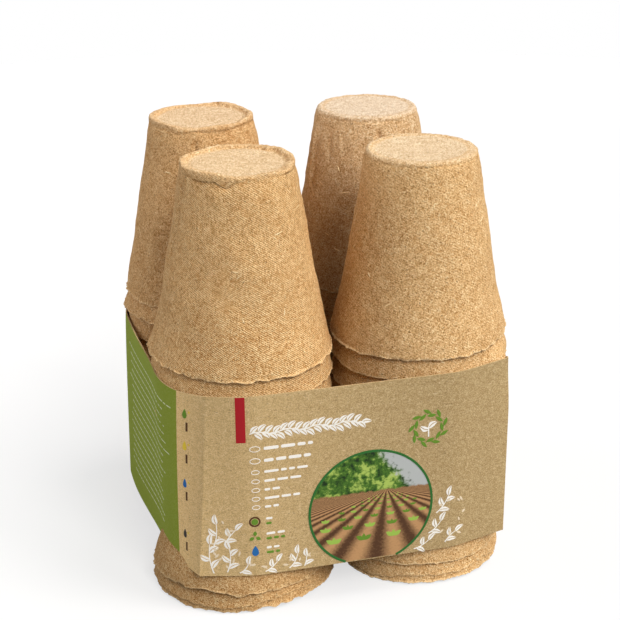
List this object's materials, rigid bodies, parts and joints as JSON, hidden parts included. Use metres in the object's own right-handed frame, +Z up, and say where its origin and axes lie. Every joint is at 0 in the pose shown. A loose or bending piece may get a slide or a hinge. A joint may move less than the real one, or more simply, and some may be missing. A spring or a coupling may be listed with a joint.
{
  "type": "pack of nested fibre plant pots",
  "caption": "Upturned, tapered moulded-fibre plant pots nested in stacks that stand side by side on their rims, held together by a printed card sleeve.",
  "frame": {"origin": "middle of the pack's footprint, on the surface that it stands on", "axes": "+Z up along the stacks, -Y out of the printed front panel, +X to the right seen from the front"},
  "size_m": [0.1642, 0.1642, 0.1972],
  "materials": {
    "pot_fibre": "matte moulded fibre, tan, with a fine diagonal mesh imprint and straw flecks",
    "sleeve_card": null
  },
  "bodies": {
    "sleeve": {"sleeve": "sleeve_card"},
    "pot_front_left_01": {"pot_front_left_01": "pot_fibre"},
    "pot_front_left_02": {"pot_front_left_02": "pot_fibre"},
    "pot_front_left_03": {"pot_front_left_03": "pot_fibre"},
    "pot_front_left_04": {"pot_front_left_04": "pot_fibre"},
    "pot_front_left_05": {"pot_front_left_05": "pot_fibre"},
    "pot_front_left_06": {"pot_front_left_06": "pot_fibre"},
    "pot_front_left_07": {"pot_front_left_07": "pot_fibre"},
    "pot_front_left_08": {"pot_front_left_08": "pot_fibre"},
    "pot_front_left_09": {"pot_front_left_09": "pot_fibre"},
    "pot_front_left_10": {"pot_front_left_10": "pot_fibre"},
    "pot_front_left_11": {"pot_front_left_11": "pot_fibre"},
    "pot_front_left_12": {"pot_front_left_12": "pot_fibre"},
    "pot_front_right_01": {"pot_front_right_01": "pot_fibre"},
    "pot_front_right_02": {"pot_front_right_02": "pot_fibre"},
    "pot_front_right_03": {"pot_front_right_03": "pot_fibre"},
    "pot_front_right_04": {"pot_front_right_04": "pot_fibre"},
    "pot_front_right_05": {"pot_front_right_05": "pot_fibre"},
    "pot_front_right_06": {"pot_front_right_06": "pot_fibre"},
    "pot_front_right_07": {"pot_front_right_07": "pot_fibre"},
    "pot_front_right_08": {"pot_front_right_08": "pot_fibre"},
    "pot_front_right_09": {"pot_front_right_09": "pot_fibre"},
    "pot_front_right_10": {"pot_front_right_10": "pot_fibre"},
    "pot_front_right_11": {"pot_front_right_11": "pot_fibre"},
    "pot_front_right_12": {"pot_front_right_12": "pot_fibre"},
    "pot_back_left_01": {"pot_back_left_01": "pot_fibre"},
    "pot_back_left_02": {"pot_back_left_02": "pot_fibre"},
    "pot_back_left_03": {"pot_back_left_03": "pot_fibre"},
    "pot_back_left_04": {"pot_back_left_04": "pot_fibre"},
    "pot_back_left_05": {"pot_back_left_05": "pot_fibre"},
    "pot_back_left_06": {"pot_back_left_06": "pot_fibre"},
    "pot_back_left_07": {"pot_back_left_07": "pot_fibre"},
    "pot_back_left_08": {"pot_back_left_08": "pot_fibre"},
    "pot_back_left_09": {"pot_back_left_09": "pot_fibre"},
    "pot_back_left_10": {"pot_back_left_10": "pot_fibre"},
    "pot_back_left_11": {"pot_back_left_11": "pot_fibre"},
    "pot_back_left_12": {"pot_back_left_12": "pot_fibre"},
    "pot_back_right_01": {"pot_back_right_01": "pot_fibre"},
    "pot_back_right_02": {"pot_back_right_02": "pot_fibre"},
    "pot_back_right_03": {"pot_back_right_03": "pot_fibre"},
    "pot_back_right_04": {"pot_back_right_04": "pot_fibre"},
    "pot_back_right_05": {"pot_back_right_05": "pot_fibre"},
    "pot_back_right_06": {"pot_back_right_06": "pot_fibre"},
    "pot_back_right_07": {"pot_back_right_07": "pot_fibre"},
    "pot_back_right_08": {"pot_back_right_08": "pot_fibre"},
    "pot_back_right_09": {"pot_back_right_09": "pot_fibre"},
    "pot_back_right_10": {"pot_back_right_10": "pot_fibre"},
    "pot_back_right_11": {"pot_back_right_11": "pot_fibre"},
    "pot_back_right_12": {"pot_back_right_12": "pot_fibre"}
  },
  "joints": [
    {"name": "front_left_stack_slide", "type": "slide", "parent": "sleeve", "child": "pot_front_left_01", "axis": [0, 0, 1], "range_m": [0, 0.11]},
    {"name": "front_left_pot_02_lift", "type": "slide", "parent": "pot_front_left_01", "child": "pot_front_left_02", "axis": [0, 0, 1], "range_m": [0, 0.076]},
    {"name": "front_left_pot_03_lift", "type": "slide", "parent": "pot_front_left_02", "child": "pot_front_left_03", "axis": [0, 0, 1], "range_m": [0, 0.076]},
    {"name": "front_left_pot_04_lift", "type": "slide", "parent": "pot_front_left_03", "child": "pot_front_left_04", "axis": [0, 0, 1], "range_m": [0, 0.076]},
    {"name": "front_left_pot_05_lift", "type": "slide", "parent": "pot_front_left_04", "child": "pot_front_left_05", "axis": [0, 0, 1], "range_m": [0, 0.076]},
    {"name": "front_left_pot_06_lift", "type": "slide", "parent": "pot_front_left_05", "child": "pot_front_left_06", "axis": [0, 0, 1], "range_m": [0, 0.076]},
    {"name": "front_left_pot_07_lift", "type": "slide", "parent": "pot_front_left_06", "child": "pot_front_left_07", "axis": [0, 0, 1], "range_m": [0, 0.076]},
    {"name": "front_left_pot_08_lift", "type": "slide", "parent": "pot_front_left_07", "child": "pot_front_left_08", "axis": [0, 0, 1], "range_m": [0, 0.076]},
    {"name": "front_left_pot_09_lift", "type": "slide", "parent": "pot_front_left_08", "child": "pot_front_left_09", "axis": [0, 0, 1], "range_m": [0, 0.076]},
    {"name": "front_left_pot_10_lift", "type": "slide", "parent": "pot_front_left_09", "child": "pot_front_left_10", "axis": [0, 0, 1], "range_m": [0, 0.076]},
    {"name": "front_left_pot_11_lift", "type": "slide", "parent": "pot_front_left_10", "child": "pot_front_left_11", "axis": [0, 0, 1], "range_m": [0, 0.076]},
    {"name": "front_left_pot_12_lift", "type": "slide", "parent": "pot_front_left_11", "child": "pot_front_left_12", "axis": [0, 0, 1], "range_m": [0, 0.076]},
    {"name": "front_right_stack_slide", "type": "slide", "parent": "sleeve", "child": "pot_front_right_01", "axis": [0, 0, 1], "range_m": [0, 0.11]},
    {"name": "front_right_pot_02_lift", "type": "slide", "parent": "pot_front_right_01", "child": "pot_front_right_02", "axis": [0, 0, 1], "range_m": [0, 0.076]},
    {"name": "front_right_pot_03_lift", "type": "slide", "parent": "pot_front_right_02", "child": "pot_front_right_03", "axis": [0, 0, 1], "range_m": [0, 0.076]},
    {"name": "front_right_pot_04_lift", "type": "slide", "parent": "pot_front_right_03", "child": "pot_front_right_04", "axis": [0, 0, 1], "range_m": [0, 0.076]},
    {"name": "front_right_pot_05_lift", "type": "slide", "parent": "pot_front_right_04", "child": "pot_front_right_05", "axis": [0, 0, 1], "range_m": [0, 0.076]},
    {"name": "front_right_pot_06_lift", "type": "slide", "parent": "pot_front_right_05", "child": "pot_front_right_06", "axis": [0, 0, 1], "range_m": [0, 0.076]},
    {"name": "front_right_pot_07_lift", "type": "slide", "parent": "pot_front_right_06", "child": "pot_front_right_07", "axis": [0, 0, 1], "range_m": [0, 0.076]},
    {"name": "front_right_pot_08_lift", "type": "slide", "parent": "pot_front_right_07", "child": "pot_front_right_08", "axis": [0, 0, 1], "range_m": [0, 0.076]},
    {"name": "front_right_pot_09_lift", "type": "slide", "parent": "pot_front_right_08", "child": "pot_front_right_09", "axis": [0, 0, 1], "range_m": [0, 0.076]},
    {"name": "front_right_pot_10_lift", "type": "slide", "parent": "pot_front_right_09", "child": "pot_front_right_10", "axis": [0, 0, 1], "range_m": [0, 0.076]},
    {"name": "front_right_pot_11_lift", "type": "slide", "parent": "pot_front_right_10", "child": "pot_front_right_11", "axis": [0, 0, 1], "range_m": [0, 0.076]},
    {"name": "front_right_pot_12_lift", "type": "slide", "parent": "pot_front_right_11", "child": "pot_front_right_12", "axis": [0, 0, 1], "range_m": [0, 0.076]},
    {"name": "back_left_stack_slide", "type": "slide", "parent": "sleeve", "child": "pot_back_left_01", "axis": [0, 0, 1], "range_m": [0, 0.11]},
    {"name": "back_left_pot_02_lift", "type": "slide", "parent": "pot_back_left_01", "child": "pot_back_left_02", "axis": [0, 0, 1], "range_m": [0, 0.076]},
    {"name": "back_left_pot_03_lift", "type": "slide", "parent": "pot_back_left_02", "child": "pot_back_left_03", "axis": [0, 0, 1], "range_m": [0, 0.076]},
    {"name": "back_left_pot_04_lift", "type": "slide", "parent": "pot_back_left_03", "child": "pot_back_left_04", "axis": [0, 0, 1], "range_m": [0, 0.076]},
    {"name": "back_left_pot_05_lift", "type": "slide", "parent": "pot_back_left_04", "child": "pot_back_left_05", "axis": [0, 0, 1], "range_m": [0, 0.076]},
    {"name": "back_left_pot_06_lift", "type": "slide", "parent": "pot_back_left_05", "child": "pot_back_left_06", "axis": [0, 0, 1], "range_m": [0, 0.076]},
    {"name": "back_left_pot_07_lift", "type": "slide", "parent": "pot_back_left_06", "child": "pot_back_left_07", "axis": [0, 0, 1], "range_m": [0, 0.076]},
    {"name": "back_left_pot_08_lift", "type": "slide", "parent": "pot_back_left_07", "child": "pot_back_left_08", "axis": [0, 0, 1], "range_m": [0, 0.076]},
    {"name": "back_left_pot_09_lift", "type": "slide", "parent": "pot_back_left_08", "child": "pot_back_left_09", "axis": [0, 0, 1], "range_m": [0, 0.076]},
    {"name": "back_left_pot_10_lift", "type": "slide", "parent": "pot_back_left_09", "child": "pot_back_left_10", "axis": [0, 0, 1], "range_m": [0, 0.076]},
    {"name": "back_left_pot_11_lift", "type": "slide", "parent": "pot_back_left_10", "child": "pot_back_left_11", "axis": [0, 0, 1], "range_m": [0, 0.076]},
    {"name": "back_left_pot_12_lift", "type": "slide", "parent": "pot_back_left_11", "child": "pot_back_left_12", "axis": [0, 0, 1], "range_m": [0, 0.076]},
    {"name": "back_right_stack_slide", "type": "slide", "parent": "sleeve", "child": "pot_back_right_01", "axis": [0, 0, 1], "range_m": [0, 0.11]},
    {"name": "back_right_pot_02_lift", "type": "slide", "parent": "pot_back_right_01", "child": "pot_back_right_02", "axis": [0, 0, 1], "range_m": [0, 0.076]},
    {"name": "back_right_pot_03_lift", "type": "slide", "parent": "pot_back_right_02", "child": "pot_back_right_03", "axis": [0, 0, 1], "range_m": [0, 0.076]},
    {"name": "back_right_pot_04_lift", "type": "slide", "parent": "pot_back_right_03", "child": "pot_back_right_04", "axis": [0, 0, 1], "range_m": [0, 0.076]},
    {"name": "back_right_pot_05_lift", "type": "slide", "parent": "pot_back_right_04", "child": "pot_back_right_05", "axis": [0, 0, 1], "range_m": [0, 0.076]},
    {"name": "back_right_pot_06_lift", "type": "slide", "parent": "pot_back_right_05", "child": "pot_back_right_06", "axis": [0, 0, 1], "range_m": [0, 0.076]},
    {"name": "back_right_pot_07_lift", "type": "slide", "parent": "pot_back_right_06", "child": "pot_back_right_07", "axis": [0, 0, 1], "range_m": [0, 0.076]},
    {"name": "back_right_pot_08_lift", "type": "slide", "parent": "pot_back_right_07", "child": "pot_back_right_08", "axis": [0, 0, 1], "range_m": [0, 0.076]},
    {"name": "back_right_pot_09_lift", "type": "slide", "parent": "pot_back_right_08", "child": "pot_back_right_09", "axis": [0, 0, 1], "range_m": [0, 0.076]},
    {"name": "back_right_pot_10_lift", "type": "slide", "parent": "pot_back_right_09", "child": "pot_back_right_10", "axis": [0, 0, 1], "range_m": [0, 0.076]},
    {"name": "back_right_pot_11_lift", "type": "slide", "parent": "pot_back_right_10", "child": "pot_back_right_11", "axis": [0, 0, 1], "range_m": [0, 0.076]},
    {"name": "back_right_pot_12_lift", "type": "slide", "parent": "pot_back_right_11", "child": "pot_back_right_12", "axis": [0, 0, 1], "range_m": [0, 0.076]}
  ]
}
